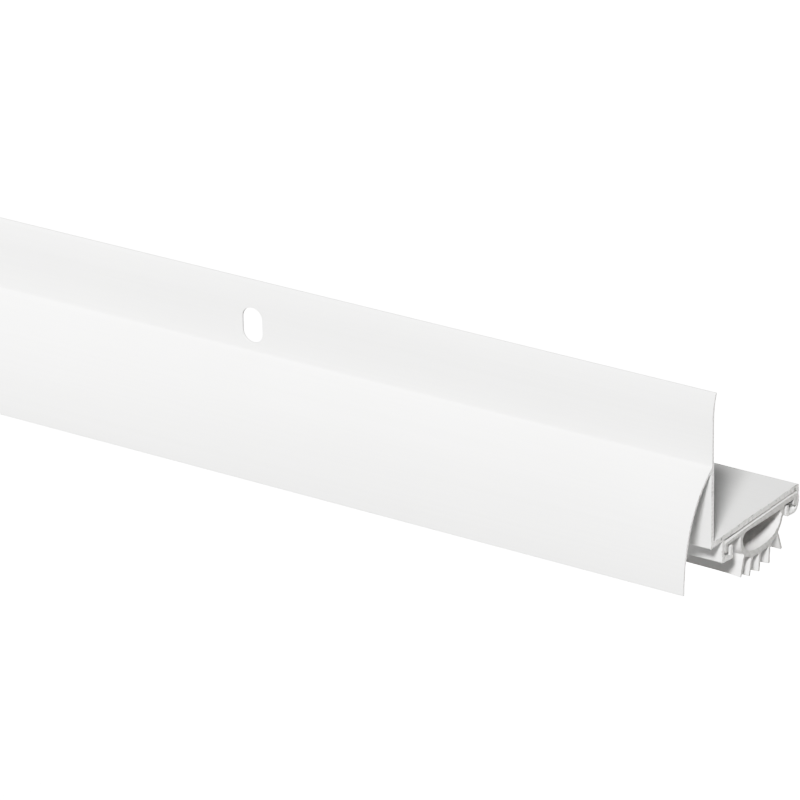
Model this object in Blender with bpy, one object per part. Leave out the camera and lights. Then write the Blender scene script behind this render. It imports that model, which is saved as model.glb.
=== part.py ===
"""L-shaped door bottom sweep with a drip cap and a slide-in bulb-and-fin seal.

One aluminium extrusion (flange, drip cap, leg, shelf and two J hooks) carries a
soft vinyl insert. The insert is one extrusion on the bench; here its flexing
zones are separate solids, so the bulb can squash and the fins can bend.

Frame: X runs along the length, +Y points at the door from its outside face, +Z
is up. The origin is on the flange's door face, halfway along the screw line.
Sections are drawn in (y, z), with y = 0 on the door face and z = 0 on the shelf.
"""
import math

import bmesh
import bpy
from mathutils import Matrix, Vector
from mathutils.geometry import interpolate_bezier

MM = 0.001

# ---- driving dimensions -------------------------------------------------------
LENGTH = 914.4 * MM            # 36 inch door
DOOR_THICKNESS = 44.45 * MM    # 1-3/4 inch door stands on the shelf
GAP = 0.3 * MM                 # clearance between pieces that touch

# Carrier extrusion
FLANGE_HEIGHT = 42.6 * MM      # top of the flange above the shelf
FLANGE_WALL = 0.95 * MM
CURL_HEIGHT = 9.0 * MM         # top stretch that curls towards the door
CURL_OFFSET = 1.5 * MM
CURL_SHARPNESS = 2.5           # exponent of the curl
LEG_WALL = 1.35 * MM           # flange below the drip cap
SHELF_WALL = 1.3 * MM
FACE_HEIGHT = 20.5 * MM        # flat flange above the drip cap
CAP_DROP = 9.6 * MM            # drip edge below the shelf
CAP_REACH = 15.4 * MM          # drip edge in front of the door face
CAP_WALL = 1.0 * MM
CAP_SLOPE = 33.0               # degrees below level where it leaves the flange
CAP_PULL = 9.0 * MM            # length of the curve's handle at the flange
CAP_HANG = 17.5 * MM           # length of its upright handle at the drip edge

# J hooks under the shelf that hold the insert
HOOK_WALL = 1.1 * MM
HOOK_DEPTH = 8.0 * MM          # hook underside below the shelf top
HOOK_REACH = 5.3 * MM          # from the outside of the hook to its lip
FRONT_HOOK_SETBACK = 4.5 * MM  # from the door face to the front hook
HOOK_LIP_GAP = 0.9 * MM        # between a hook's upturned lip and the strip above
FRONT_CORNER = 0.5 * MM        # outside corner radius of the front hook
BACK_CORNER = 2.4 * MM         # outside corner radius of the back hook
SHELF_CORNER = 0.4 * MM

# Screw slots
SLOT_COUNT = 4
SLOT_END_DISTANCE = 146.8 * MM
SLOT_WIDTH = 6.5 * MM
SLOT_HEIGHT = 10.2 * MM
SLOT_DROP = 12.9 * MM          # slot centres below the top of the flange

# Insert
STRIP_GAP = 0.5 * MM           # under the shelf
STRIP_WALL = 1.6 * MM
ARM_WALL = 1.4 * MM
ARM_FLOOR_GAP = 1.3 * MM       # between an arm and the hook's floor
BULB_FRONT_GAP = 3.9 * MM      # between the bulb and the front hook's lip
BULB_BACK_GAP = 1.5 * MM       # between the bulb and the back hook's lip
BULB_DEPTH = 9.3 * MM          # below the strip
BULB_WALL = 1.1 * MM
BULB_FLOOR = 1.4 * MM
BULB_SQUARENESS = 2.5          # exponent of the bulb's outline
SOLE_RISE = 3.3 * MM           # sole's edges above the bulb's lowest line

# Fins, front to back: place across the bulb as a share of its half width, lean
# from the vertical in degrees (towards the door is positive), and length
FIN_WALL = 0.9 * MM
FINS = [
    (-0.80, -11.0, 5.6 * MM),
    (-0.42, -11.0, 5.1 * MM),
    (-0.05, -2.0, 5.2 * MM),
    (0.38, 1.0, 5.2 * MM),
    (0.74, 23.0, 5.8 * MM),
]

# ---- derived ------------------------------------------------------------------
SCREW_LINE = FLANGE_HEIGHT - SLOT_DROP
SHELF_Z = -SCREW_LINE
CAP_TOP = FLANGE_HEIGHT - FACE_HEIGHT
STRIP_TOP = -SHELF_WALL - STRIP_GAP
STRIP_BOTTOM = STRIP_TOP - STRIP_WALL
HOOK_FLOOR = -HOOK_DEPTH + HOOK_WALL
HOOK_LIP_TOP = STRIP_BOTTOM - HOOK_LIP_GAP
ARM_BOTTOM = HOOK_FLOOR + ARM_FLOOR_GAP
FRONT_LIP = FRONT_HOOK_SETBACK + HOOK_REACH
BACK_LIP = DOOR_THICKNESS - HOOK_REACH - (BACK_CORNER - HOOK_WALL)
BULB_FRONT = FRONT_LIP + BULB_FRONT_GAP
BULB_BACK = BACK_LIP - BULB_BACK_GAP
BULB_HALF = (BULB_BACK - BULB_FRONT) / 2
BULB_CENTRE = (BULB_BACK + BULB_FRONT) / 2
SOLE_EDGE = STRIP_BOTTOM - BULB_DEPTH + SOLE_RISE
ALONG_X = Matrix(((0, 0, 1), (1, 0, 0), (0, 1, 0))).to_euler()


def arc(y, z, radius, start, end, steps=4):
    """Points on a circle from start to end, in degrees from +y towards +z."""
    points = []
    for i in range(steps + 1):
        angle = math.radians(start + (end - start) * i / steps)
        points.append((y + radius * math.cos(angle), z + radius * math.sin(angle)))
    return points


def offset_path(points, distance):
    """The same path moved sideways, to the left of its direction."""
    moved = []
    last = len(points) - 1
    for i, (y, z) in enumerate(points):
        before = points[max(i - 1, 0)]
        after = points[min(i + 1, last)]
        step_y = after[0] - before[0]
        step_z = after[1] - before[1]
        length = math.hypot(step_y, step_z)
        moved.append((y - distance * step_z / length, z + distance * step_y / length))
    return moved


def cap_curve(steps=12):
    """The drip cap's outer face, from the crease down to its edge."""
    slope = math.radians(CAP_SLOPE)
    crease = Vector((-FLANGE_WALL, CAP_TOP))
    edge = Vector((-CAP_REACH, -CAP_DROP))
    leave = crease - CAP_PULL * Vector((math.cos(slope), math.sin(slope)))
    arrive = edge + Vector((0.0, CAP_HANG))
    return [tuple(point) for point in interpolate_bezier(crease, leave, arrive, edge, steps)]


def flange_curl(y, steps=5):
    """One face of the flange's top, curling towards the door as it rises."""
    points = []
    for i in range(steps + 1):
        rise = i / steps
        z = FLANGE_HEIGHT - CURL_HEIGHT * (1 - rise)
        points.append((y + CURL_OFFSET * rise ** CURL_SHARPNESS, z))
    return points


def hook_tip(y):
    """Round top of an upturned lip whose front face is at y, back to front."""
    radius = HOOK_WALL / 2
    return arc(y + radius, HOOK_LIP_TOP - radius, radius, 0, 180)


def front_hook():
    """From the shelf's underside round the front hook, outside first."""
    outside = FRONT_HOOK_SETBACK
    return (
        [(outside, -SHELF_WALL)]
        + arc(outside + FRONT_CORNER, -HOOK_DEPTH + FRONT_CORNER, FRONT_CORNER, 180, 270)
        + [(FRONT_LIP, -HOOK_DEPTH)]
        + hook_tip(FRONT_LIP - HOOK_WALL)
        + [(FRONT_LIP - HOOK_WALL, HOOK_FLOOR), (outside + HOOK_WALL, HOOK_FLOOR)]
        + [(outside + HOOK_WALL, -SHELF_WALL)]
    )


def back_hook():
    """From the shelf's underside round the back hook, inside first."""
    outside = DOOR_THICKNESS
    inner = BACK_CORNER - HOOK_WALL
    return (
        [(outside - HOOK_WALL, -SHELF_WALL)]
        + arc(outside - BACK_CORNER, HOOK_FLOOR + inner, inner, 0, -90)
        + [(BACK_LIP + HOOK_WALL, HOOK_FLOOR)]
        + hook_tip(BACK_LIP)
        + [(BACK_LIP, -HOOK_DEPTH)]
        + arc(outside - BACK_CORNER, -HOOK_DEPTH + BACK_CORNER, BACK_CORNER, -90, 0, 5)
    )


def carrier_section():
    """The whole extrusion: flange, drip cap, leg, shelf and hooks."""
    outer = cap_curve()
    inner = [point for point in offset_path(outer, CAP_WALL) if point[0] < -LEG_WALL - CAP_WALL]
    return (
        list(reversed(flange_curl(-FLANGE_WALL)))
        + outer
        + list(reversed(inner))
        + [(-LEG_WALL, inner[0][1] + CAP_WALL / 2), (-LEG_WALL, -SHELF_WALL)]
        + front_hook()
        + back_hook()
        + arc(DOOR_THICKNESS - SHELF_CORNER, -SHELF_CORNER, SHELF_CORNER, 0, 90, 3)
        + [(0.0, 0.0)]
        + flange_curl(0.0)
    )


def bulb_side(half_width, depth, z_start, z_end, side, steps=6):
    """Points down one side of the bulb between two heights, outside or inside."""
    points = []
    angles = []
    for z in (z_start, z_end):
        share = min(1.0, max(0.0, (STRIP_BOTTOM - z) / depth))
        angles.append(math.asin(share ** (BULB_SQUARENESS / 2)))
    for i in range(steps + 1):
        angle = angles[0] + (angles[1] - angles[0]) * i / steps
        y = BULB_CENTRE + side * half_width * math.cos(angle) ** (2 / BULB_SQUARENESS)
        z = STRIP_BOTTOM - depth * math.sin(angle) ** (2 / BULB_SQUARENESS)
        points.append((y, z))
    return points


def fin_root(across):
    """Hinge point of a fin: out from the bulb's surface, square to it."""
    drop = (1 - abs(across) ** BULB_SQUARENESS) ** (1 / BULB_SQUARENESS)
    surface = Vector((BULB_CENTRE + across * BULB_HALF, STRIP_BOTTOM - drop * BULB_DEPTH))
    steepness = BULB_SQUARENESS - 1
    lean_out = math.copysign(abs(across) ** steepness / BULB_HALF, across)
    outward = Vector((lean_out, -drop ** steepness / BULB_DEPTH)).normalized()
    return surface + outward * (GAP + FIN_WALL / 2)


def bulb_wall_section(side):
    """One upright wall of the bulb, from the strip to the sole."""
    top = STRIP_BOTTOM - GAP
    bottom = SOLE_EDGE + GAP
    outer = bulb_side(BULB_HALF, BULB_DEPTH, top, bottom, side)
    inner = bulb_side(BULB_HALF - BULB_WALL, BULB_DEPTH - BULB_FLOOR, bottom, top, side)
    return outer + inner


def sole_section():
    """The bulb's lower half, which carries the fins."""
    lowest = STRIP_BOTTOM - BULB_DEPTH
    inner_half = BULB_HALF - BULB_WALL
    inner_depth = BULB_DEPTH - BULB_FLOOR
    front = bulb_side(BULB_HALF, BULB_DEPTH, SOLE_EDGE, lowest, -1, 8)
    back = bulb_side(BULB_HALF, BULB_DEPTH, lowest, SOLE_EDGE, 1, 8)
    inner_back = bulb_side(inner_half, inner_depth, SOLE_EDGE, lowest + BULB_FLOOR, 1, 8)
    inner_front = bulb_side(inner_half, inner_depth, lowest + BULB_FLOOR, SOLE_EDGE, -1, 8)
    return front + back[1:] + inner_back + inner_front[1:]


def seal_base_section():
    """Strip under the shelf with an arm down into each hook."""
    front = FRONT_HOOK_SETBACK + HOOK_WALL + GAP
    back = DOOR_THICKNESS - HOOK_WALL - GAP
    return [
        (front, STRIP_TOP),
        (front, ARM_BOTTOM),
        (front + ARM_WALL, ARM_BOTTOM),
        (front + ARM_WALL, STRIP_BOTTOM),
        (back - ARM_WALL, STRIP_BOTTOM),
        (back - ARM_WALL, ARM_BOTTOM),
        (back, ARM_BOTTOM),
        (back, STRIP_TOP),
    ]


def fin_section(lean, length):
    """A fin with round root and tip; the root's centre is the hinge axis."""
    radius = FIN_WALL / 2
    reach = length - FIN_WALL
    outline = arc(0.0, 0.0, radius, 0, 180, 6) + arc(0.0, -reach, radius, 180, 360, 4)
    turn = math.radians(lean)
    return [
        (y * math.cos(turn) - z * math.sin(turn), y * math.sin(turn) + z * math.cos(turn))
        for y, z in outline
    ]


def material(name, colour, roughness):
    """Principled material with a plain colour; both coats are non-metals."""
    made = bpy.data.materials.new(name)
    made.use_nodes = True
    shader = made.node_tree.nodes["Principled BSDF"]
    shader.inputs["Base Color"].default_value = (*colour, 1.0)
    shader.inputs["Roughness"].default_value = roughness
    shader.inputs["Metallic"].default_value = 0.0
    made.diffuse_color = (*colour, 1.0)
    return made


def extrude_section(name, outline, length, collection):
    """A flat outline as a filled 2D curve, extruded to its length and made a mesh."""
    data = bpy.data.curves.new(name + "_outline", "CURVE")
    data.dimensions = "2D"
    data.fill_mode = "BOTH"
    data.extrude = length / 2
    spline = data.splines.new("POLY")
    spline.points.add(len(outline) - 1)
    for point, (across, up) in zip(spline.points, outline):
        point.co = (across, up, 0.0, 1.0)
    spline.use_cyclic_u = True
    curve = bpy.data.objects.new(name + "_outline", data)
    collection.objects.link(curve)
    bpy.context.view_layer.update()
    evaluated = curve.evaluated_get(bpy.context.evaluated_depsgraph_get())
    mesh = bpy.data.meshes.new_from_object(evaluated)
    bpy.data.objects.remove(curve)
    bpy.data.curves.remove(data)
    welder = bmesh.new()
    welder.from_mesh(mesh)
    bmesh.ops.remove_doubles(welder, verts=welder.verts, dist=0.00001)
    bmesh.ops.dissolve_degenerate(welder, dist=0.00001, edges=welder.edges)
    bmesh.ops.dissolve_limit(
        welder, angle_limit=math.radians(0.1), verts=welder.verts, edges=welder.edges
    )
    bmesh.ops.recalc_face_normals(welder, faces=welder.faces)
    welder.to_mesh(mesh)
    welder.free()
    mesh.name = name
    made = bpy.data.objects.new(name, mesh)
    collection.objects.link(made)
    return made


def place(piece, datum, y=0.0, z=0.0):
    """Lay a section along X, at (y, z) from the shelf's front corner."""
    piece.parent = datum
    piece.rotation_euler = ALONG_X
    piece.location = (0.0, y, z)


def finish(piece, look):
    """Give a piece its material, with round stretches shaded smooth."""
    piece.data.materials.clear()
    piece.data.materials.append(look)
    piece.data.shade_smooth()
    piece.data.set_sharp_from_angle(angle=math.radians(30))


def slot_outline():
    """Upright slot with round ends, about its own centre."""
    radius = SLOT_WIDTH / 2
    straight = SLOT_HEIGHT / 2 - radius
    return arc(0.0, straight, radius, 0, 180, 8) + arc(0.0, -straight, radius, 180, 360, 8)


def slot_places():
    """X of each slot's centre, evenly spaced between the two end slots."""
    first = -LENGTH / 2 + SLOT_END_DISTANCE
    pitch = (LENGTH - 2 * SLOT_END_DISTANCE) / (SLOT_COUNT - 1)
    return [first + pitch * i for i in range(SLOT_COUNT)]


def add_carrier(parts, cutters, datum, look):
    """The extrusion, with the screw slots punched through its flange."""
    carrier = extrude_section("carrier", carrier_section(), LENGTH, parts)
    place(carrier, datum)
    finish(carrier, look)
    for number, x in enumerate(slot_places(), start=1):
        cutter = extrude_section(f"slot_cutter_{number}", slot_outline(), FLANGE_WALL * 6, cutters)
        cutter.parent = datum
        cutter.rotation_euler = (math.radians(90), 0.0, 0.0)
        cutter.location = (x, -FLANGE_WALL / 2, SCREW_LINE)
        cutter.hide_render = True
        cutter.display_type = "WIRE"
        cut = carrier.modifiers.new(f"slot_{number}", "BOOLEAN")
        cut.operation = "DIFFERENCE"
        cut.solver = "EXACT"
        cut.object = cutter


def add_insert(parts, datum, look):
    """The vinyl: strip, bulb walls, sole and fins."""
    sections = {
        "seal_base": seal_base_section(),
        "bulb_front_wall": bulb_wall_section(-1),
        "bulb_back_wall": bulb_wall_section(1),
        "bulb_sole": sole_section(),
    }
    for name, section in sections.items():
        piece = extrude_section(name, section, LENGTH, parts)
        place(piece, datum)
        finish(piece, look)
    for number, (across, lean, length) in enumerate(FINS, start=1):
        fin = extrude_section(f"fin_{number}", fin_section(lean, length), LENGTH, parts)
        root = fin_root(across)
        place(fin, datum, root.x, root.y)
        finish(fin, look)


def main():
    for old in list(bpy.data.objects):
        bpy.data.objects.remove(old, do_unlink=True)
    parts = bpy.data.collections.new("door_sweep")
    cutters = bpy.data.collections.new("door_sweep_cutters")
    bpy.context.scene.collection.children.link(parts)
    bpy.context.scene.collection.children.link(cutters)
    datum = bpy.data.objects.new("shelf_corner", None)
    datum.location = (0.0, 0.0, SHELF_Z)
    parts.objects.link(datum)
    enamel = material("white_enamel", (0.84, 0.84, 0.83), 0.38)
    vinyl = material("white_vinyl", (0.78, 0.78, 0.77), 0.55)
    add_carrier(parts, cutters, datum, enamel)
    add_insert(parts, datum, vinyl)


main()
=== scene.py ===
# Looks for an L-shaped door bottom sweep: one extruded aluminium carrier in white
# baked enamel, and one soft white vinyl insert with a hollow bulb and five fins.
# Sections are drawn in millimetres as (y, z), with y = 0 on the face that meets the
# door and z = 0 on top of the shelf; each is run along X, the sweep's length.
import math

import bmesh
import bpy
import numpy as np
from mathutils import Matrix, Vector, noise
from mathutils.geometry import interpolate_bezier, tessellate_polygon


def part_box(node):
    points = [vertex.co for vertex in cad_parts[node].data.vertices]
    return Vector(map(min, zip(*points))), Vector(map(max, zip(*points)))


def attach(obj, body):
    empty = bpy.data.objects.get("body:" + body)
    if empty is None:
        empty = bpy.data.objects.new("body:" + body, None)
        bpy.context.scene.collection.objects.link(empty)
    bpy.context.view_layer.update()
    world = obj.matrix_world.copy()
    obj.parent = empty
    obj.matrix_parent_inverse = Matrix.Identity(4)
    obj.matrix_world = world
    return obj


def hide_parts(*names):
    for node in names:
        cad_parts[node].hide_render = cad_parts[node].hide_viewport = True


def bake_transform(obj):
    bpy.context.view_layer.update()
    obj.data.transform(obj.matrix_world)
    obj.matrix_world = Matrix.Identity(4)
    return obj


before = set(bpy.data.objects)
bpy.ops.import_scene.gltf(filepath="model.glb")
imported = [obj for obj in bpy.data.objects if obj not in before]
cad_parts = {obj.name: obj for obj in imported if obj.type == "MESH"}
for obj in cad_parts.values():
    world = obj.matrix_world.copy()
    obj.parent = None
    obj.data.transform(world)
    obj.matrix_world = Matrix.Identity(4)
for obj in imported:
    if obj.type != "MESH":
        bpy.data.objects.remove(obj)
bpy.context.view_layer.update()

MM = 0.001
carrier_low, carrier_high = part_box("carrier")
HALF_LENGTH = carrier_high.x / MM

# ---- carrier section, in mm ------------------------------------------------------
FLANGE_HEIGHT = 42.6
SHELF_Z = carrier_high.z / MM - FLANGE_HEIGHT
FLANGE_WALL = 0.95
CURL_HEIGHT = 9.0
CURL_OFFSET = 1.5
CURL_SHARPNESS = 2.5
LEG_WALL = 1.35
SHELF_WALL = 1.3
HEEL_DEPTH = 1.65               # the leg ends a little below the shelf
SHELF_BACK = carrier_high.y / MM
CAP_TOP = 22.1
CAP_REACH = -carrier_low.y / MM
CAP_DROP = SHELF_Z - carrier_low.z / MM
CAP_WALL = 0.8
CAP_SLOPE = 33.0
CAP_PULL = 9.0
CAP_HANG = 17.5
HOOK_WALL = 1.1
HOOK_DEPTH = 8.0
HOOK_FLOOR = HOOK_WALL - HOOK_DEPTH
HOOK_LIP_TOP = -4.3
FRONT_HOOK = 4.5
FRONT_LIP = 9.8
BACK_LIP = 37.85
BACK_CORNER = 2.4
HOOK_LIFT = 0.45               # the back hook rises towards its lip
LIP_ROUND = 0.9                # whose outer corner is well rounded
DIE_ROUND = 0.3                # the radius the die leaves at most corners
OUTLINE_STEP = 0.5             # the longest stretch between two points of a section

# ---- screw slots, in mm ----------------------------------------------------------
SLOT_COUNT = 4
SLOT_END_DISTANCE = 146.8
SLOT_WIDTH = 6.5
SLOT_HEIGHT = 10.2
PUNCH_ROLL = 0.3               # the punch rounds the front edge of the slot
PUNCH_BREAK = 0.12             # and breaks the back edge
PUNCH_CLEAR = 1.0              # it starts and ends this far outside the flange
PUNCH_SIDES = 48
PUNCH_ROLL_ANGLES = (72, 54, 36, 18, 0)

# ---- insert section, in mm -------------------------------------------------------
base_low, base_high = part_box("seal_base")
bulb_low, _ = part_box("bulb_front_wall")
_, bulb_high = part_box("bulb_back_wall")
sole_low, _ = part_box("bulb_sole")
STRIP_BOTTOM = -3.4
ARM_WALL = 1.4
ARM_OVERLAP = 0.02             # keeps an arm's faces from lying in the strip's own
STRIP_FRONT = base_low.y / MM
STRIP_BACK = base_high.y / MM
ARM_BOTTOM = base_low.z / MM - SHELF_Z
BULB_CENTRE = (bulb_low.y + bulb_high.y) / 2 / MM
BULB_HALF = (bulb_high.y - bulb_low.y) / 2 / MM
BULB_DEPTH = STRIP_BOTTOM - (sole_low.z / MM - SHELF_Z)
BULB_WALL = 1.1
BULB_FLOOR = 1.9
BULB_SQUARENESS = 2.5
STRIP_TOP = [(9.5, -2.05), (17.0, -1.85), (39.0, -1.65)]   # its top rises towards the back
STRIP_FRONT_TOP, STRIP_BACK_TOP = -2.15, -1.8
INSERT_PROUD = 0.08            # the insert stands this far out of the carrier's +X end
BLADE_LEAN = 0.03              # and is cut this much shorter for each mm below its strip
FIN_WALL = 0.9
FIN_HINGE_GAP = 0.3            # the fin's hinge is this far, and half its wall, off the bulb
FIN_FOOT, FIN_SINK = 0.75, 0.16    # half the foot's width, and how deep it sits in the skin
FIN_NECK = 0.5                 # the foot has narrowed to the fin's wall this far past the hinge
FIN_TIP, TIP_SIDE, TIP_END = 0.4, 0.25, 0.22   # half the tip's width, and its rounding
FIN_ROOT_SINK, FIN_ROOT = 0.7, 0.5             # the root's depth and half width in the skin
# place across the bulb as a share of its half width, lean towards the door, length,
# and how far the tip's corner droops (or is trimmed back) at a cut end
FINS = [
    (-0.76, -14.0, 5.4, 0.35),
    (-0.42, -11.0, 5.1, 0.0),
    (-0.05, -2.0, 5.45, -0.3),
    (0.38, 1.0, 5.6, -0.4),
    (0.74, 23.0, 5.8, 0.0),
]


# ---- drawing sections ------------------------------------------------------------
def rounded(corners, steps=5):
    """A closed outline from (y, z, radius) corners, each turned into a true arc."""
    outline = []
    for i, (y, z, radius) in enumerate(corners):
        here = Vector((y, z))
        if not radius:
            outline.append(here)
            continue
        before, after = corners[i - 1], corners[(i + 1) % len(corners)]
        back, ahead = Vector(before[:2]) - here, Vector(after[:2]) - here
        half = back.angle(ahead) / 2
        reach = min(
            radius / math.tan(half),
            back.length * (0.49 if before[2] else 0.95),
            ahead.length * (0.49 if after[2] else 0.95),
        )
        middle = (back.normalized() + ahead.normalized()).normalized()
        centre = here + middle * (reach / math.cos(half))
        start = here + back.normalized() * reach - centre
        turn = start.angle_signed(here + ahead.normalized() * reach - centre)
        for step in range(steps + 1):
            outline.append(centre + Matrix.Rotation(-turn * step / steps, 2) @ start)
    return outline


def fine(outline, step):
    """The same closed outline with no stretch longer than step, as an array."""
    points = []
    for i, here in enumerate(outline):
        there = outline[(i + 1) % len(outline)]
        parts = max(1, math.ceil((there - here).length / step))
        points += [here.lerp(there, part / parts) for part in range(parts)]
    return np.array([tuple(point) for point in points])


def sharp(points):
    """Corners that are not rounded."""
    return [(point[0], point[1], 0.0) for point in points]


def beside(points, distance):
    """A path moved sideways, to the left of its direction."""
    path = np.array(points)
    along = np.gradient(path, axis=0)
    along /= np.linalg.norm(along, axis=1)[:, None]
    return path + distance * np.column_stack((-along[:, 1], along[:, 0]))


def cap_face(steps=26):
    """The drip cap's outer face, from its crease down to its edge."""
    slope = math.radians(CAP_SLOPE)
    crease = Vector((-FLANGE_WALL, CAP_TOP))
    edge = Vector((-CAP_REACH, -CAP_DROP))
    leave = crease - CAP_PULL * Vector((math.cos(slope), math.sin(slope)))
    return interpolate_bezier(crease, leave, edge + Vector((0.0, CAP_HANG)), edge, steps)


def curl_face(y, steps=8):
    """One face of the flange's top, from where it starts to curl up to its edge."""
    rises = [step / steps for step in range(steps + 1)]
    return [
        (y + CURL_OFFSET * rise ** CURL_SHARPNESS, FLANGE_HEIGHT - CURL_HEIGHT * (1 - rise))
        for rise in rises
    ]


def carrier_outline():
    """Flange, drip cap, leg, shelf and both hooks, with the die's small radii."""
    front_curl = curl_face(-FLANGE_WALL)[::-1]
    back_curl = curl_face(0.0)
    cap_outer = [tuple(point) for point in cap_face()]
    cap_inner = [tuple(point) for point in beside(cap_outer, CAP_WALL)[::-1]]
    cap_inner = [point for point in cap_inner if point[0] < -LEG_WALL - CAP_WALL]
    tip = HOOK_WALL / 2 - 0.02
    corners = (
        [(*front_curl[0], 0.3)] + sharp(front_curl[1:])
        + [(*cap_outer[0], 0.6)] + sharp(cap_outer[1:-1]) + [(*cap_outer[-1], 0.35)]
        + [(*cap_inner[0], 0.3)] + sharp(cap_inner[1:])
        + [(-LEG_WALL, cap_inner[-1][1] + CAP_WALL / 2, 0.8), (-LEG_WALL, -HEEL_DEPTH, 0.3)]
        + [(FRONT_HOOK, -SHELF_WALL, 0.3), (FRONT_HOOK, -HOOK_DEPTH, 0.5)]
        + [(FRONT_LIP, -HOOK_DEPTH, 0.45), (FRONT_LIP, HOOK_LIP_TOP, tip)]
        + [(FRONT_LIP - HOOK_WALL, HOOK_LIP_TOP, tip), (FRONT_LIP - HOOK_WALL, HOOK_FLOOR, 0.3)]
        + [(FRONT_HOOK + HOOK_WALL, HOOK_FLOOR, 0.3), (FRONT_HOOK + HOOK_WALL, -SHELF_WALL, 0.3)]
        + [(SHELF_BACK - HOOK_WALL, -SHELF_WALL, 0.3)]
        + [(SHELF_BACK - HOOK_WALL, HOOK_FLOOR, BACK_CORNER - HOOK_WALL)]
        + [(BACK_LIP + HOOK_WALL, HOOK_FLOOR, 0.3), (BACK_LIP + HOOK_WALL, HOOK_LIP_TOP, tip)]
        + [(BACK_LIP, HOOK_LIP_TOP, tip), (BACK_LIP, HOOK_LIFT - HOOK_DEPTH, LIP_ROUND)]
        + [(SHELF_BACK, -HOOK_DEPTH, BACK_CORNER), (SHELF_BACK, 0.0, 0.4)]
        + [(0.0, 0.0, 0.4)] + sharp(back_curl[:-1]) + [(*back_curl[-1], 0.3)]
    )
    return fine(rounded(corners), OUTLINE_STEP)


def bulb_curve(half_width, depth, start, end, steps):
    """Points round the bulb from the door side (0) to the front (180 degrees)."""
    points = []
    for step in range(steps + 1):
        angle = math.radians(start + (end - start) * step / steps)
        side = math.copysign(abs(math.cos(angle)) ** (2 / BULB_SQUARENESS), math.cos(angle))
        drop = math.sin(angle) ** (2 / BULB_SQUARENESS)
        points.append((BULB_CENTRE + half_width * side, STRIP_BOTTOM - depth * drop))
    return points


def insert_outlines():
    """The insert's strip and bulb, and the hollow of its bulb."""
    outside = (
        [(STRIP_FRONT, STRIP_FRONT_TOP, DIE_ROUND)] + sharp(STRIP_TOP)
        + [(STRIP_BACK, STRIP_BACK_TOP, DIE_ROUND), (STRIP_BACK, STRIP_BOTTOM, 0.1)]
        + [(BULB_CENTRE + BULB_HALF, STRIP_BOTTOM, 0.5)]
        + sharp(bulb_curve(BULB_HALF, BULB_DEPTH, 5.5, 174.5, 56))
        + [(BULB_CENTRE - BULB_HALF, STRIP_BOTTOM, 0.7), (STRIP_FRONT, STRIP_BOTTOM, 0.1)]
    )
    inner_half = BULB_HALF - BULB_WALL
    inner_depth = BULB_DEPTH - BULB_FLOOR
    hollow = (
        [(BULB_CENTRE + inner_half, STRIP_BOTTOM - 0.5, 1.6)]
        + sharp(bulb_curve(inner_half, inner_depth, 12.0, 167.0, 44))
        + [(BULB_CENTRE - inner_half, STRIP_BOTTOM, 2.2)]
    )
    return [fine(rounded(outside), OUTLINE_STEP), fine(rounded(hollow, 8), 0.6)]


def arm_outline(outer, towards):
    """The arm under one edge of the strip; its top is buried in the strip."""
    outer -= towards * ARM_OVERLAP
    inner = outer + towards * ARM_WALL
    top = STRIP_BOTTOM + 0.5
    corners = [(outer, top, 0.1), (outer, ARM_BOTTOM, 0.6)]
    corners += [(inner, ARM_BOTTOM, 0.6), (inner, top, 0.1)]
    return fine(rounded(corners), OUTLINE_STEP)


def bulb_skin(across):
    """A point on the bulb's outside, and the direction square to it, pointing out."""
    drop = (1 - abs(across) ** BULB_SQUARENESS) ** (1 / BULB_SQUARENESS)
    point = Vector((BULB_CENTRE + across * BULB_HALF, STRIP_BOTTOM - drop * BULB_DEPTH))
    steepness = BULB_SQUARENESS - 1
    out_y = math.copysign(abs(across) ** steepness / BULB_HALF, across)
    return point, Vector((out_y, -drop ** steepness / BULB_DEPTH)).normalized()


def fin_axis(across, lean):
    """The fin's hinge point and the direction it hangs in."""
    point, outward = bulb_skin(across)
    turn = math.radians(lean)
    hinge = point + outward * (FIN_HINGE_GAP + FIN_WALL / 2)
    return hinge, Vector((math.sin(turn), -math.cos(turn)))


def fin_outline(across, lean, length):
    """A fin whose foot spreads into the bulb and whose tip is nearly square."""
    hinge, down = fin_axis(across, lean)
    sideways = Vector((-down.y, down.x))
    reach = length - FIN_WALL / 2
    skin, outward = bulb_skin(across)
    along_skin = Vector((-outward.y, outward.x))
    outline = []
    for side in (1, -1):
        foot, foot_out = bulb_skin(across + side * FIN_FOOT * along_skin.x / BULB_HALF)
        foot -= foot_out * FIN_SINK
        neck = hinge + down * FIN_NECK + sideways * side * FIN_WALL / 2
        edge = interpolate_bezier(
            foot, foot.lerp(skin, 0.55), neck - down * FIN_NECK * 1.6, neck, 7)
        tip = hinge + down * (reach - TIP_SIDE) + sideways * side * FIN_TIP
        corner = hinge + down * reach + sideways * side * (FIN_TIP - TIP_END)
        middle = hinge + down * reach + sideways * side * FIN_TIP
        edge += interpolate_bezier(tip, tip.lerp(middle, 0.6), corner.lerp(middle, 0.6), corner, 5)
        edge = [skin - outward * FIN_ROOT_SINK + along_skin * side * FIN_ROOT] + edge
        outline += edge if side > 0 else edge[::-1]
    return fine(outline, 0.45)


# ---- running a section along the sweep -------------------------------------------
CUT_FADE = 0.28                # how fast a cut's roughness dies away from the end
CUT_REACH = 2.0                # and where it stops
FRETS, BURRS = 2.3, 0.8        # how many frets and burrs a cut leaves in each mm
FRET_SEED, BURR_SEED, BURR_SHIFT = 5.1, 9.7, 3.0
FRET_HEIGHT, BURR_HEIGHT, NICK_DEPTH = 0.10, 0.55, 0.5
BURR_FROM, NICK_FROM = 0.12, 0.30
FRET_ALONG, BURR_ALONG = 0.14, 0.10


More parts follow.
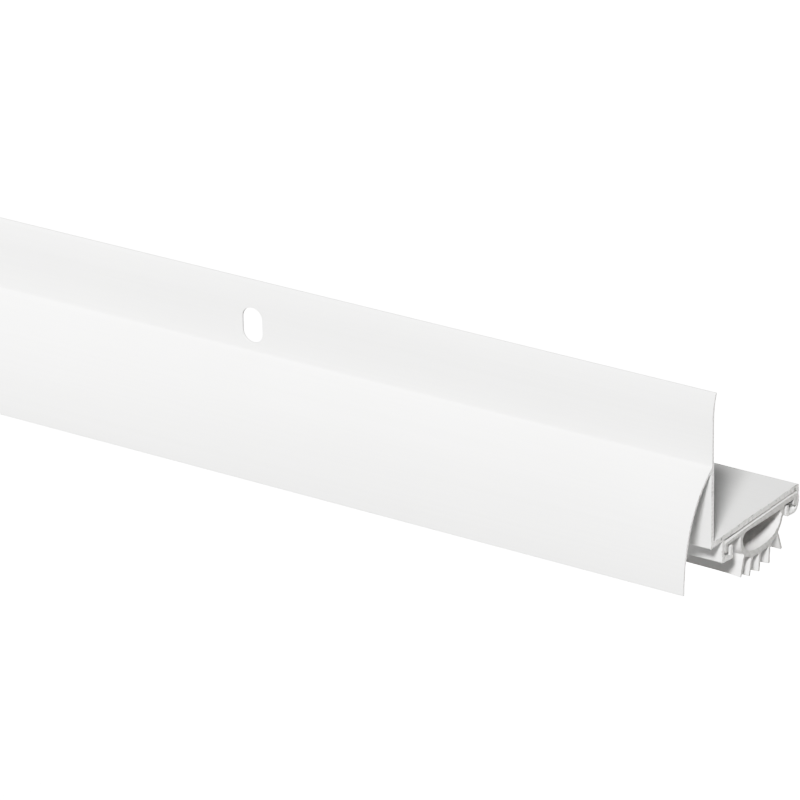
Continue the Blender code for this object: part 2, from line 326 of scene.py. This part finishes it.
def outward_of(outline):
    """Unit directions pointing out of a closed outline."""
    along = np.roll(outline, -1, axis=0) - np.roll(outline, 1, axis=0)
    along /= np.linalg.norm(along, axis=1)[:, None]
    out = np.column_stack((along[:, 1], -along[:, 0]))
    after = np.roll(outline, -1, axis=0)
    area = np.sum(outline[:, 0] * after[:, 1] - after[:, 0] * outline[:, 1])
    return out if area > 0 else -out


def stations(step, end_steps):
    """Places along X in mm: close together at the two cut ends, then every step."""
    near_left = [-HALF_LENGTH + d for d in end_steps]
    middle = np.linspace(near_left[-1], -near_left[-1], round((HALF_LENGTH * 2) / step))
    return near_left[:-1] + list(middle) + [-x for x in reversed(near_left[:-1])]


def ragged(section, side, coarse):
    """How a cut leaves each point of an outline: (sideways, lengthwise) shifts in mm."""
    shifts = []
    for (y, z), rough in zip(section, coarse):
        fret = noise.noise(Vector((y * FRETS, z * FRETS, side * FRET_SEED)))
        burr = noise.noise(Vector((y * BURRS, z * BURRS, side * BURR_SEED + BURR_SHIFT)))
        burred = BURR_HEIGHT * max(0.0, burr - BURR_FROM)
        nicked = NICK_DEPTH * max(0.0, -burr - NICK_FROM)
        lift = FRET_HEIGHT * fret + burred - nicked
        shifts.append((rough * lift, rough * (FRET_ALONG * fret + BURR_ALONG * burr)))
    return np.array(shifts)


def turn_outward(mesh):
    """Makes every face of a closed mesh point out of it."""
    faces = bmesh.new()
    faces.from_mesh(mesh)
    bmesh.ops.recalc_face_normals(faces, faces=faces.faces)
    faces.to_mesh(mesh)
    faces.free()


def run_along(name, outlines, places, coarse, wave=None, shift=0.0):
    """Sweeps outlines along X: the first is the outside, any other is a hollow.
    coarse says how rough the cut is at each point; wave bends the section at an x."""
    section = np.concatenate(outlines)
    outward = np.concatenate([outward_of(outline) for outline in outlines])
    cuts = {side: ragged(section, side, coarse) for side in (-1, 1)}
    rings = []
    for x in places:
        side = 1 if x > 0 else -1
        depth = HALF_LENGTH - abs(x)
        fade = math.exp(-depth / CUT_FADE) if depth < CUT_REACH else 0.0
        bent = section if wave is None else wave(x, section)
        sides = bent + outward * (cuts[side][:, :1] * fade)
        along = x + shift + side * cuts[side][:, 1] * fade
        rings.append(np.column_stack((along, sides[:, 0], sides[:, 1] + SHELF_Z)))
    total = len(section)
    faces = []
    for ring in range(len(places) - 1):
        first = ring * total
        for outline in outlines:
            count = len(outline)
            for i in range(count):
                a, b = first + i, first + (i + 1) % count
                faces.append((a, b, b + total, a + total))
            first += count
    side_faces = len(faces)
    rims = [[Vector((y, z, 0.0)) for y, z in outline] for outline in outlines]
    last = (len(places) - 1) * total
    for triangle in tessellate_polygon(rims):
        faces += [tuple(triangle), tuple(last + corner for corner in reversed(triangle))]
    mesh = bpy.data.meshes.new(name)
    mesh.from_pydata((np.concatenate(rings) * MM).tolist(), [], faces)
    mesh.polygons.foreach_set("material_index", [int(i >= side_faces) for i in range(len(faces))])
    turn_outward(mesh)
    piece = bpy.data.objects.new(name, mesh)
    bpy.context.scene.collection.objects.link(piece)
    return piece


SHARP_EDGE = math.radians(32)


def finish_piece(piece, skin, cut):
    """Gives a piece its skin and cut-end materials and its smooth shading."""
    piece.data.materials.append(skin)
    piece.data.materials.append(cut)
    piece.data.shade_smooth()
    piece.data.set_sharp_from_angle(angle=SHARP_EDGE)


# ---- the screw slots -------------------------------------------------------------
def punch(x):
    """The slug a punch takes out: wider where it rolls over the front edge."""
    front, back = -FLANGE_WALL, 0.0
    roll = [
        (front + PUNCH_ROLL * (1 - math.sin(math.radians(angle))),
         PUNCH_ROLL * (1 - math.cos(math.radians(angle))))
        for angle in PUNCH_ROLL_ANGLES
    ]
    steps = [(front - PUNCH_CLEAR, roll[0][1] + 0.02)] + roll
    steps += [(back - PUNCH_BREAK, 0.0), (back + PUNCH_BREAK, 2 * PUNCH_BREAK)]
    steps += [(back + PUNCH_CLEAR, 0.3)]
    radius, straight, around = SLOT_WIDTH / 2, (SLOT_HEIGHT - SLOT_WIDTH) / 2, PUNCH_SIDES
    vertices = []
    for y, grow in steps:
        for i in range(around):
            angle = 2 * math.pi * (i + 0.5) / around
            lift = math.copysign(straight, math.sin(angle))
            across = x + (radius + grow) * math.cos(angle)
            vertices.append((across * MM, y * MM, (lift + (radius + grow) * math.sin(angle)) * MM))
    faces = [tuple(range(around)), tuple(range(len(vertices) - around, len(vertices)))[::-1]]
    for ring in range(len(steps) - 1):
        for i in range(around):
            a, b = ring * around + i, ring * around + (i + 1) % around
            faces.append((a, a + around, b + around, b))
    mesh = bpy.data.meshes.new("punch")
    mesh.from_pydata(vertices, [], faces)
    turn_outward(mesh)
    mesh.shade_smooth()
    slug = bpy.data.objects.new("punch", mesh)
    bpy.context.scene.collection.objects.link(slug)
    return slug


def punch_slots(piece):
    """Takes every slot's slug out of the flange and keeps the finished mesh."""
    first = -HALF_LENGTH + SLOT_END_DISTANCE
    pitch = (HALF_LENGTH * 2 - SLOT_END_DISTANCE * 2) / (SLOT_COUNT - 1)
    slugs = [punch(first + pitch * i) for i in range(SLOT_COUNT)]
    for slug in slugs:
        slug.data.materials.append(piece.data.materials[0])
        cut = piece.modifiers.new("slot", "BOOLEAN")
        cut.operation = "DIFFERENCE"
        cut.solver = "MANIFOLD"
        cut.object = slug
    bpy.context.view_layer.update()
    evaluated = piece.evaluated_get(bpy.context.evaluated_depsgraph_get())
    punched = bpy.data.meshes.new_from_object(evaluated)
    piece.modifiers.clear()
    piece.data = punched
    for slug in slugs:
        bpy.data.objects.remove(slug)
    punched.set_sharp_from_angle(angle=SHARP_EDGE)
    weigh = piece.modifiers.new("flat_faces_stay_flat", "WEIGHTED_NORMAL")
    weigh.keep_sharp = True
    weigh.weight = 80


# ---- materials -------------------------------------------------------------------
def linear(colour):
    """An sRGB hex value as linear RGBA."""
    channels = [int(colour[i:i + 2], 16) / 255 for i in (1, 3, 5)]
    return [c / 12.92 if c <= 0.04045 else ((c + 0.055) / 1.055) ** 2.4 for c in channels] + [1.0]


def add(tree, kind, sockets, out=0, **settings):
    """Adds a node with its settings, and a value or a link for each socket it names.
    Gives back the output that the next node takes."""
    made = tree.nodes.new(kind)
    for name, value in settings.items():
        setattr(made, name, value)
    for socket, value in sockets.items():
        if isinstance(value, bpy.types.NodeSocket):
            tree.links.new(value, made.inputs[socket])
        else:
            made.inputs[socket].default_value = value
    return made.outputs[out] if made.outputs else None


def per_mm(size):
    """A pattern's scale, in repeats per metre, from its real size in mm."""
    return 1.0 / (size * MM)


def new_material(name):
    made = bpy.data.materials.new(name)
    made.use_nodes = True
    made.node_tree.nodes.clear()
    return made, made.node_tree


# a Mix node's sockets for two colours
SHARE, FIRST, SECOND, MIXED = 0, 6, 7, 2


def baked_enamel():
    """White baked enamel on extruded aluminium. Smooth satin film: faint die lines
    telegraph through it, with a fine orange peel, and it chips to metal at a saw cut."""
    made, tree = new_material("white_baked_enamel_on_aluminium")
    place = add(tree, "ShaderNodeTexCoord", {}, "Object")
    clouds = add(tree, "ShaderNodeTexNoise", {
        "Vector": place, "Scale": per_mm(45.0), "Detail": 2.0})
    # die lines are 0.9 mm apart and run 150 mm or so before they fade
    along = add(tree, "ShaderNodeMapping", {
        "Vector": place, "Scale": (per_mm(150.0), per_mm(0.9), per_mm(0.9))})
    lines = add(tree, "ShaderNodeTexNoise", {
        "Vector": along, "Scale": 1.0, "Detail": 3.0, "Roughness": 0.6})
    peel = add(tree, "ShaderNodeTexNoise", {
        "Vector": place, "Scale": per_mm(1.6), "Detail": 1.0})
    film = add(tree, "ShaderNodeMix", {
        SHARE: clouds, FIRST: linear("#EFEFEE"), SECOND: linear("#F4F4F3")},
        MIXED, data_type="RGBA")
    faint = add(tree, "ShaderNodeMapRange", {
        "Value": lines, "From Min": 0.30, "From Max": 0.70, "To Max": 0.35})
    film = add(tree, "ShaderNodeMix", {
        SHARE: faint, FIRST: film, SECOND: linear("#E9E9E7")}, MIXED, data_type="RGBA")
    # the film flakes off the shelf and hooks up to half a millimetre from each saw cut
    x = add(tree, "ShaderNodeSeparateXYZ", {"Vector": place}, "X")
    y = add(tree, "ShaderNodeSeparateXYZ", {"Vector": place}, "Y")
    from_middle = add(tree, "ShaderNodeMath", {0: x}, operation="ABSOLUTE")
    flakes = add(tree, "ShaderNodeTexNoise", {
        "Vector": place, "Scale": per_mm(0.8), "Detail": 3.0})
    flaked = add(tree, "ShaderNodeMapRange", {
        "Value": flakes, "From Min": 0.50, "From Max": 0.80, "To Max": 0.5 * MM})
    reach = add(tree, "ShaderNodeMath", {0: from_middle, 1: flaked}, operation="ADD")
    bare = add(tree, "ShaderNodeMapRange", {
        "Value": reach, "From Min": (HALF_LENGTH - 0.02) * MM,
        "From Max": (HALF_LENGTH + 0.06) * MM, "To Max": 0.75})
    shelf = add(tree, "ShaderNodeMapRange", {
        "Value": y, "From Min": 0.0, "From Max": 1.5 * MM})
    bare = add(tree, "ShaderNodeMath", {0: bare, 1: shelf}, operation="MULTIPLY")
    colour = add(tree, "ShaderNodeMix", {
        SHARE: bare, FIRST: film, SECOND: linear("#B4B4B2")}, MIXED, data_type="RGBA")
    height = add(tree, "ShaderNodeMath", {0: lines, 1: 0.6, 2: peel}, operation="MULTIPLY_ADD")
    bump = add(tree, "ShaderNodeBump", {
        "Height": height, "Strength": 0.10, "Distance": 0.05 * MM})
    gloss = add(tree, "ShaderNodeMapRange", {"Value": clouds, "To Min": 0.34, "To Max": 0.46})
    shader = add(tree, "ShaderNodeBsdfPrincipled", {
        "Base Color": colour, "Roughness": gloss, "IOR": 1.50, "Normal": bump})
    add(tree, "ShaderNodeOutputMaterial", {"Surface": shader})
    return made


def sawn_aluminium():
    """Saw-cut aluminium. Grey bare metal with fine curved tooth marks; the saw drags
    white enamel over the shelf's end. Its blotchy grey spots are painted shadow, where burr edges
    would shade the face."""
    made, tree = new_material("saw_cut_aluminium")
    place = add(tree, "ShaderNodeTexCoord", {}, "Object")
    # tooth marks are about 0.3 mm apart; drawn at 0.6 mm so that they show
    teeth = add(tree, "ShaderNodeTexWave", {
        "Vector": place, "Scale": per_mm(0.6) / (2 * math.pi), "Distortion": 2.0, "Detail": 2.0},
        "Fac", bands_direction="Z")
    grit = add(tree, "ShaderNodeTexNoise", {
        "Vector": place, "Scale": per_mm(0.45), "Detail": 3.0, "Roughness": 0.7})
    smear = add(tree, "ShaderNodeTexNoise", {
        "Vector": place, "Scale": per_mm(1.5), "Detail": 4.0, "Roughness": 0.7})
    burr_shade_spots = add(tree, "ShaderNodeTexNoise", {
        "Vector": place, "Scale": per_mm(3.4), "Detail": 3.0, "Roughness": 0.6})
    # the saw leaves the thin flange and cap last, so no enamel is dragged there
    y = add(tree, "ShaderNodeSeparateXYZ", {"Vector": place}, "Y")
    shelf = add(tree, "ShaderNodeMapRange", {
        "Value": y, "From Min": 0.0, "From Max": 1.5 * MM, "To Min": 0.15})
    specks = add(tree, "ShaderNodeMapRange", {"Value": smear, "From Min": 0.30, "From Max": 0.45})
    white = add(tree, "ShaderNodeMath", {0: specks, 1: shelf}, operation="MULTIPLY")
    metal = add(tree, "ShaderNodeMix", {
        SHARE: grit, FIRST: linear("#B4B3B3"), SECOND: linear("#C6C5C5")},
        MIXED, data_type="RGBA")
    mark = add(tree, "ShaderNodeMath", {0: teeth, 1: 0.3}, operation="MULTIPLY")
    metal = add(tree, "ShaderNodeMix", {
        SHARE: mark, FIRST: metal, SECOND: linear("#9B9A98")}, MIXED, data_type="RGBA")
    colour = add(tree, "ShaderNodeMix", {
        SHARE: white, FIRST: metal, SECOND: linear("#EDECE9")}, MIXED, data_type="RGBA")
    # painted shadow: blotchy grey spots on the cut face, in place of the shade under burr edges
    painted_burr_shadow = add(tree, "ShaderNodeMapRange", {
        "Value": burr_shade_spots, "From Min": 0.60, "From Max": 0.68, "To Max": 0.7})
    colour = add(tree, "ShaderNodeMix", {
        SHARE: painted_burr_shadow, FIRST: colour, SECOND: linear("#86847F")}, MIXED, data_type="RGBA")
    height = add(tree, "ShaderNodeMath", {0: teeth, 1: 0.5, 2: grit}, operation="MULTIPLY_ADD")
    bump = add(tree, "ShaderNodeBump", {
        "Height": height, "Strength": 0.4, "Distance": 0.10 * MM})
    metallic = add(tree, "ShaderNodeMapRange", {"Value": white, "To Min": 0.6, "To Max": 0.0})
    shader = add(tree, "ShaderNodeBsdfPrincipled", {
        "Base Color": colour, "Metallic": metallic, "Roughness": 0.55, "Normal": bump})
    add(tree, "ShaderNodeOutputMaterial", {"Surface": shader})
    return made


def soft_vinyl():
    """Soft white vinyl, extruded. Semi-matte and a little waxy: light enters a short
    way, and the die leaves faint lines along it."""
    made, tree = new_material("extruded_soft_white_vinyl")
    place = add(tree, "ShaderNodeTexCoord", {}, "Object")
    clouds = add(tree, "ShaderNodeTexNoise", {
        "Vector": place, "Scale": per_mm(30.0), "Detail": 3.0})
    # die lines are 0.5 mm apart and run 30 mm or so before they fade
    along = add(tree, "ShaderNodeMapping", {
        "Vector": place, "Scale": (per_mm(30.0), per_mm(0.5), per_mm(0.5))})
    lines = add(tree, "ShaderNodeTexNoise", {
        "Vector": along, "Scale": 1.0, "Detail": 3.0, "Roughness": 0.6})
    grain = add(tree, "ShaderNodeTexNoise", {
        "Vector": place, "Scale": per_mm(0.35), "Detail": 2.0})
    colour = add(tree, "ShaderNodeMix", {
        SHARE: clouds, FIRST: linear("#ECEBE9"), SECOND: linear("#F2F1F0")},
        MIXED, data_type="RGBA")
    faint = add(tree, "ShaderNodeMapRange", {
        "Value": lines, "From Min": 0.35, "From Max": 0.70, "To Max": 0.3})
    colour = add(tree, "ShaderNodeMix", {
        SHARE: faint, FIRST: colour, SECOND: linear("#E3E2E0")}, MIXED, data_type="RGBA")
    height = add(tree, "ShaderNodeMath", {0: grain, 1: 0.4, 2: lines}, operation="MULTIPLY_ADD")
    bump = add(tree, "ShaderNodeBump", {
        "Height": height, "Strength": 0.25, "Distance": 0.06 * MM})
    gloss = add(tree, "ShaderNodeMapRange", {"Value": clouds, "To Min": 0.44, "To Max": 0.62})
    shader = add(tree, "ShaderNodeBsdfPrincipled", {
        "Base Color": colour, "Roughness": gloss, "IOR": 1.53, "Subsurface Weight": 0.05,
        "Subsurface Radius": (1.0, 0.9, 0.8), "Subsurface Scale": 0.4 * MM, "Normal": bump})
    add(tree, "ShaderNodeOutputMaterial", {"Surface": shader})
    return made


def cut_vinyl():
    """Cut vinyl. The blade leaves a dull grey-white face with fine drag marks and
    small torn spots."""
    made, tree = new_material("blade_cut_white_vinyl")
    place = add(tree, "ShaderNodeTexCoord", {}, "Object")
    # drag marks are about 0.2 mm apart; drawn at 0.5 mm so that they show
    drag = add(tree, "ShaderNodeTexWave", {
        "Vector": place, "Scale": per_mm(0.5) / (2 * math.pi), "Distortion": 3.0, "Detail": 2.0},
        "Fac", bands_direction="DIAGONAL")
    torn = add(tree, "ShaderNodeTexNoise", {
        "Vector": place, "Scale": per_mm(0.7), "Detail": 4.0, "Roughness": 0.7})
    mark = add(tree, "ShaderNodeMath", {0: drag, 1: 0.5}, operation="MULTIPLY")
    colour = add(tree, "ShaderNodeMix", {
        SHARE: mark, FIRST: linear("#E0DFDC"), SECOND: linear("#D2D1CD")},
        MIXED, data_type="RGBA")
    spots = add(tree, "ShaderNodeMapRange", {
        "Value": torn, "From Min": 0.56, "From Max": 0.70, "To Max": 0.6})
    colour = add(tree, "ShaderNodeMix", {
        SHARE: spots, FIRST: colour, SECOND: linear("#BAB8B3")}, MIXED, data_type="RGBA")
    height = add(tree, "ShaderNodeMath", {0: drag, 1: 0.4, 2: torn}, operation="MULTIPLY_ADD")
    bump = add(tree, "ShaderNodeBump", {
        "Height": height, "Strength": 0.5, "Distance": 0.10 * MM})
    shader = add(tree, "ShaderNodeBsdfPrincipled", {
        "Base Color": colour, "Roughness": 0.7, "IOR": 1.53, "Normal": bump})
    add(tree, "ShaderNodeOutputMaterial", {"Surface": shader})
    return made


def pale_floor():
    """Matt white studio floor, bright enough to stay clean white. Its underside is
    clear, so that it never hides the sweep from a low angle."""
    made, tree = new_material("matt_white_studio_floor")
    top = add(tree, "ShaderNodeBsdfPrincipled", {
        "Base Color": linear("#F6F6F6"), "Roughness": 0.9,
        "Emission Color": linear("#FFFFFF"), "Emission Strength": 1.3})
    clear = add(tree, "ShaderNodeBsdfTransparent", {})
    under = add(tree, "ShaderNodeNewGeometry", {}, "Backfacing")
    floor = add(tree, "ShaderNodeMixShader", {0: under, 1: top, 2: clear})
    add(tree, "ShaderNodeOutputMaterial", {"Surface": floor})
    return made


# ---- making the pieces -----------------------------------------------------------
# places for a section near a cut end, in mm from it, and the stretch between the rest
CUT_STEPS = [0.0, 0.1, 0.25, 0.5, 1.0, 2.2]
FIN_CUT_STEPS = CUT_STEPS[:3] + [1.0, 2.5, 5.0]
STIFF_STEP, BULB_STEP, FIN_STEP = 40.0, 9.0, 7.0


def make_carrier():
    """The aluminium extrusion, sawn at both ends and punched for its screws."""
    outline = carrier_outline()
    # thin walls cut clean; the shelf and its hooks tear under the saw
    shelf = np.clip((outline[:, 0] + 0.5) / 2.0, 0.0, 1.0) * (outline[:, 1] < 1.5)
    rough = SHELF_ROUGH * shelf
    piece = run_along("carrier_extrusion", [outline], stations(STIFF_STEP, CUT_STEPS), rough)
    finish_piece(piece, baked_enamel(), sawn_aluminium())
    punch_slots(piece)
    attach(piece, "carrier")
    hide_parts("carrier")


SWAY, SWAY_LENGTH = 0.16, 55.0     # the bulb wanders sideways, over this length
SAG, SAG_LENGTH = 0.12, 70.0       # and up and down
CURL, CURL_LENGTH = 0.32, 38.0     # and each fin's edge wanders more, over less
ROLL_DROP, ROLL_LENGTH, ROLL_ABOVE = 0.45, 0.6, -2.5
DROOP_LENGTH = 3.0                 # a fin's corner droops over this much of its end
SKIN_ROUGH, FIN_ROUGH, SHELF_ROUGH = 0.45, 0.3, 0.8


def sway(x):
    """How far the bulb has wandered sideways at x; the fins go with it."""
    return SWAY * noise.noise(Vector((x / SWAY_LENGTH, 2.0, 0.0)))


def blade(section):
    """How far along X the leaning blade leaves each point of the insert's section."""
    below = np.clip(STRIP_BOTTOM - section[:, 1], 0.0, None)
    return INSERT_PROUD - BLADE_LEAN * below


def insert_wave(x, section):
    """The soft bulb wanders a little along its length; the strip stays in its hooks."""
    hang = np.clip((STRIP_BOTTOM - section[:, 1]) / BULB_DEPTH, 0.0, 1.0)
    in_bulb = (np.abs(section[:, 0] - BULB_CENTRE) < BULB_HALF + 0.5) * hang
    sag = SAG * noise.noise(Vector((x / SAG_LENGTH, 7.0, 0.0)))
    depth = HALF_LENGTH - abs(x)
    near_end = max(0.0, 1.0 - depth / ROLL_LENGTH)
    rolled = ROLL_DROP * near_end ** 2 * (section[:, 1] > ROLL_ABOVE)
    return section + np.column_stack((in_bulb * sway(x), in_bulb * sag - rolled))


def make_insert(skin, cut):
    """The vinyl strip and bulb, as one piece with the bulb's hollow."""
    outlines = insert_outlines()
    places = stations(BULB_STEP, CUT_STEPS)
    rough = np.full(sum(len(outline) for outline in outlines), SKIN_ROUGH)
    shift = blade(np.concatenate(outlines))
    piece = run_along("vinyl_insert", outlines, places, rough, insert_wave, shift)
    finish_piece(piece, skin, cut)
    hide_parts("seal_base", "bulb_front_wall", "bulb_back_wall", "bulb_sole")
    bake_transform(piece)


def make_arm(name, outer, towards, skin, cut):
    """One arm, apart from the bulb so that it stays in its hook when the bulb squashes."""
    outline = arm_outline(outer, towards)
    rough = np.full(len(outline), SKIN_ROUGH)
    shift = INSERT_PROUD - ARM_OVERLAP
    piece = run_along(name, [outline], stations(STIFF_STEP, CUT_STEPS), rough, None, shift)
    finish_piece(piece, skin, cut)
    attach(piece, "seal")
    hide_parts("seal_base")


def make_fin(number, across, lean, length, droop, skin, cut):
    """One fin, with its root sunk in the bulb's skin."""
    hinge, down = fin_axis(across, lean)
    sideways = Vector((-down.y, down.x))
    reach = length - FIN_WALL / 2

    def fin_wave(x, section):
        """The fin's edge wanders, and its corner droops or is trimmed at the cut."""
        out = np.clip((section - np.array(hinge)) @ np.array(down) / reach, 0.0, 1.0)
        curl = CURL * noise.noise(Vector((x / CURL_LENGTH, 11.0 * number, 0.0)))
        hang = droop * math.exp((abs(x) - HALF_LENGTH) / DROOP_LENGTH)
        moved = section + np.outer(out ** 1.6 * curl, np.array(sideways))
        return moved + np.outer(out * hang, np.array(down)) + np.array((sway(x), 0.0))

    outline = fin_outline(across, lean, length)
    rough = np.full(len(outline), FIN_ROUGH)
    places = stations(FIN_STEP, FIN_CUT_STEPS)
    piece = run_along(f"vinyl_fin_{number}", [outline], places, rough, fin_wave, blade(outline))
    finish_piece(piece, skin, cut)
    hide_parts(f"fin_{number}")
    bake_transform(piece)


make_carrier()
vinyl, vinyl_cut = soft_vinyl(), cut_vinyl()
make_insert(vinyl, vinyl_cut)
make_arm("vinyl_arm_front", STRIP_FRONT, 1, vinyl, vinyl_cut)
make_arm("vinyl_arm_back", STRIP_BACK, -1, vinyl, vinyl_cut)
for fin_number, fin_sizes in enumerate(FINS, start=1):
    make_fin(fin_number, *fin_sizes, vinyl, vinyl_cut)


# ---- studio ----------------------------------------------------------------------
def toward(azimuth, elevation):
    """The direction of a light or camera seen from the sweep: azimuth 0 is in front."""
    a, e = math.radians(azimuth), math.radians(elevation)
    return Vector((math.sin(a) * math.cos(e), -math.cos(a) * math.cos(e), math.sin(e)))


def soft_sun(name, azimuth, elevation, strength, width):
    """A broad soft light from far off: width is its size in degrees."""
    light = bpy.data.lights.new(name, "SUN")
    light.energy = strength
    light.angle = math.radians(width)
    lamp = bpy.data.objects.new(name, light)
    lamp.rotation_euler = toward(azimuth, elevation).to_track_quat("Z", "Y").to_euler()
    bpy.context.scene.collection.objects.link(lamp)


ROOM_FILL = 0.195              # how much the white room lights the sweep
ROOM_SEEN = 2.0                # and how bright it looks behind it
FLOOR_HALF = 9                 # metres
FLOOR_DROP = 0.75              # metres; far enough that no shadow falls beside the sweep
floor_mesh = bpy.data.meshes.new("studio_floor")
floor_corners = [(x * FLOOR_HALF, y * FLOOR_HALF, 0)
                 for x, y in ((-1, -1), (1, -1), (1, 1), (-1, 1))]
floor_mesh.from_pydata(floor_corners, [], [(0, 1, 2, 3)])
floor_mesh.materials.append(pale_floor())
floor = bpy.data.objects.new("studio_floor", floor_mesh)
floor.location.z = -FLOOR_DROP
floor.visible_diffuse = False
floor.visible_shadow = False
bpy.context.scene.collection.objects.link(floor)

soft_sun("key_softbox", azimuth=24.0, elevation=41.0, strength=3.65, width=11.0)
soft_sun("floor_bounce", azimuth=200.0, elevation=-20.0, strength=1.2, width=50.0)
PANEL_PLACE = Vector((-0.45, -0.45, 0.20))
PANEL_TARGET = Vector((0.3, 0.0, 0.0))
PANEL_POWER, PANEL_SIZE = 2.0, 0.4
panel = bpy.data.lights.new("front_left_panel", "AREA")
panel.energy = PANEL_POWER
panel.size = PANEL_SIZE
panel_lamp = bpy.data.objects.new("front_left_panel", panel)
panel_lamp.location = PANEL_PLACE
panel_aim = PANEL_PLACE - PANEL_TARGET
panel_lamp.rotation_euler = panel_aim.to_track_quat("Z", "Y").to_euler()
bpy.context.scene.collection.objects.link(panel_lamp)

room = bpy.data.worlds.new("white_studio")
room.use_nodes = True
room.node_tree.nodes.clear()
room_tree = room.node_tree
fill = add(room_tree, "ShaderNodeBackground", {
    "Color": linear("#FFFFFF"), "Strength": ROOM_FILL})
wall = add(room_tree, "ShaderNodeBackground", {"Color": linear("#FFFFFF"), "Strength": ROOM_SEEN})
seen = add(room_tree, "ShaderNodeLightPath", {}, "Is Camera Ray")
studio = add(room_tree, "ShaderNodeMixShader", {0: seen, 1: fill, 2: wall})
add(room_tree, "ShaderNodeOutputWorld", {"Surface": studio})
bpy.context.scene.world = room

# a camera's shoulder: bright whites roll off gently, and the floor alone burns out
CURVE_TOP = 2.0
SHOULDER = [(0.12, 0.095), (0.30, 0.28), (0.60, 0.575), (0.80, 0.735), (0.95, 0.815),
            (1.10, 0.872), (1.30, 0.925), (1.60, 0.975)]
colour_view = bpy.context.scene.view_settings
colour_view.view_transform = "Standard"
colour_view.use_curve_mapping = True
colour_view.curve_mapping.white_level = (CURVE_TOP,) * 3
for light_in, light_out in SHOULDER:
    colour_view.curve_mapping.curves[3].points.new(light_in / CURVE_TOP, light_out)
colour_view.curve_mapping.update()

CAMERA_AZIMUTH, CAMERA_ELEVATION, CAMERA_ROLL = 34.2122, 23.5565, -0.9611
CAMERA_PLACE = (1.191859, -1.225564, 0.634473)
CAMERA_LENS, CAMERA_SENSOR = 269.31, 36.0
CAMERA_SHIFT = (-0.00125, 0.000625)
lens = bpy.data.cameras.new("camera")
lens.lens = CAMERA_LENS
lens.sensor_width = CAMERA_SENSOR
lens.shift_x, lens.shift_y = CAMERA_SHIFT
lens.clip_end = 100.0
camera = bpy.data.objects.new("camera", lens)
away = toward(CAMERA_AZIMUTH, CAMERA_ELEVATION)
roll = Matrix.Rotation(math.radians(CAMERA_ROLL), 3, "Z")
turn = away.to_track_quat("Z", "Y").to_matrix() @ roll
camera.matrix_world = Matrix.Translation(CAMERA_PLACE) @ turn.to_4x4()
bpy.context.scene.collection.objects.link(camera)
bpy.context.scene.camera = camera
